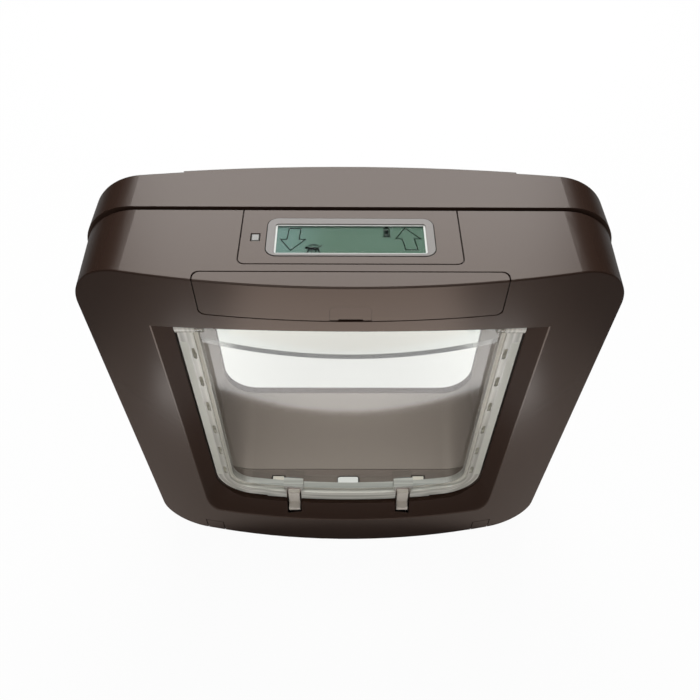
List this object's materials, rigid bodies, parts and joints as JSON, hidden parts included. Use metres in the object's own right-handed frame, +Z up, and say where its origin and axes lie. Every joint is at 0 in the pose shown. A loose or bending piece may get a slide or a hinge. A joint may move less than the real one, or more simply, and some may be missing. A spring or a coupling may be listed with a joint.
{
  "type": "cat flap",
  "caption": "Door-mounted pet door: two bowed frames round a tunnel, a clear flap hung from its top edge, lifting catches, a top display and a battery bay.",
  "frame": {"origin": "middle of the tunnel frame, half way through the door gap between the two frames", "axes": "+X to the right seen from indoors, +Y outdoors through the door, +Z up"},
  "size_m": [0.2152, 0.0722, 0.2102],
  "materials": {
    "dark_plastic": "satin",
    "black_plastic": "satin",
    "grey_plastic": "satin",
    "display_glass": "gloss",
    "display": "matt",
    "board": "satin",
    "clear_plastic": "gloss",
    "frosted_plastic": "frosted",
    "pale_plastic": "satin",
    "bush_plastic": "satin",
    "bright_steel": "brushed",
    "copper_winding": "enamelled wire",
    "cell_can": "printed film"
  },
  "bodies": {
    "base": {"inner_housing": "dark_plastic", "outer_frame": "dark_plastic", "control_panel": "dark_plastic", "screw_cover_left": "dark_plastic", "screw_cover_right": "dark_plastic", "inner_back_plate": "black_plastic", "battery_tray": "black_plastic", "front_actuator": "black_plastic", "rear_actuator": "black_plastic", "lcd_bezel": "grey_plastic", "lcd_glass": "display_glass", "lcd_module": "display", "control_board": "board", "light_sensor": "pale_plastic", "hinge_bush_left": "bush_plastic", "hinge_bush_right": "bush_plastic", "frame_screws": "bright_steel", "case_screws": "bright_steel", "battery_contacts": "bright_steel", "antenna_coil": "copper_winding", "battery_cell_1": "cell_can", "battery_cell_2": "cell_can", "battery_cell_3": "cell_can", "battery_cell_4": "cell_can"},
    "flap": {"flap_panel": "clear_plastic", "edge_strip_left": "frosted_plastic", "edge_strip_right": "frosted_plastic", "flap_pin_left": "bright_steel", "flap_pin_right": "bright_steel"},
    "front_latch": {"front_latch": "pale_plastic", "front_plunger": "bright_steel"},
    "rear_latch": {"rear_latch": "pale_plastic", "rear_plunger": "bright_steel"},
    "battery_cover": {"battery_cover": "dark_plastic"}
  },
  "joints": [
    {"name": "flap_swing", "type": "hinge", "parent": "base", "child": "flap", "pos_m": [0, -0.0293, 0.072], "axis": [1, 0, 0], "range_deg": [-75, 75]},
    {"name": "front_latch_lift", "type": "slide", "parent": "base", "child": "front_latch", "axis": [0, 0, 1], "range_m": [0, 0.005]},
    {"name": "rear_latch_lift", "type": "slide", "parent": "base", "child": "rear_latch", "axis": [0, 0, 1], "range_m": [0, 0.005]},
    {"name": "battery_cover_pull", "type": "slide", "parent": "base", "child": "battery_cover", "axis": [0, -1, 0], "range_m": [0, 0.06]}
  ]
}
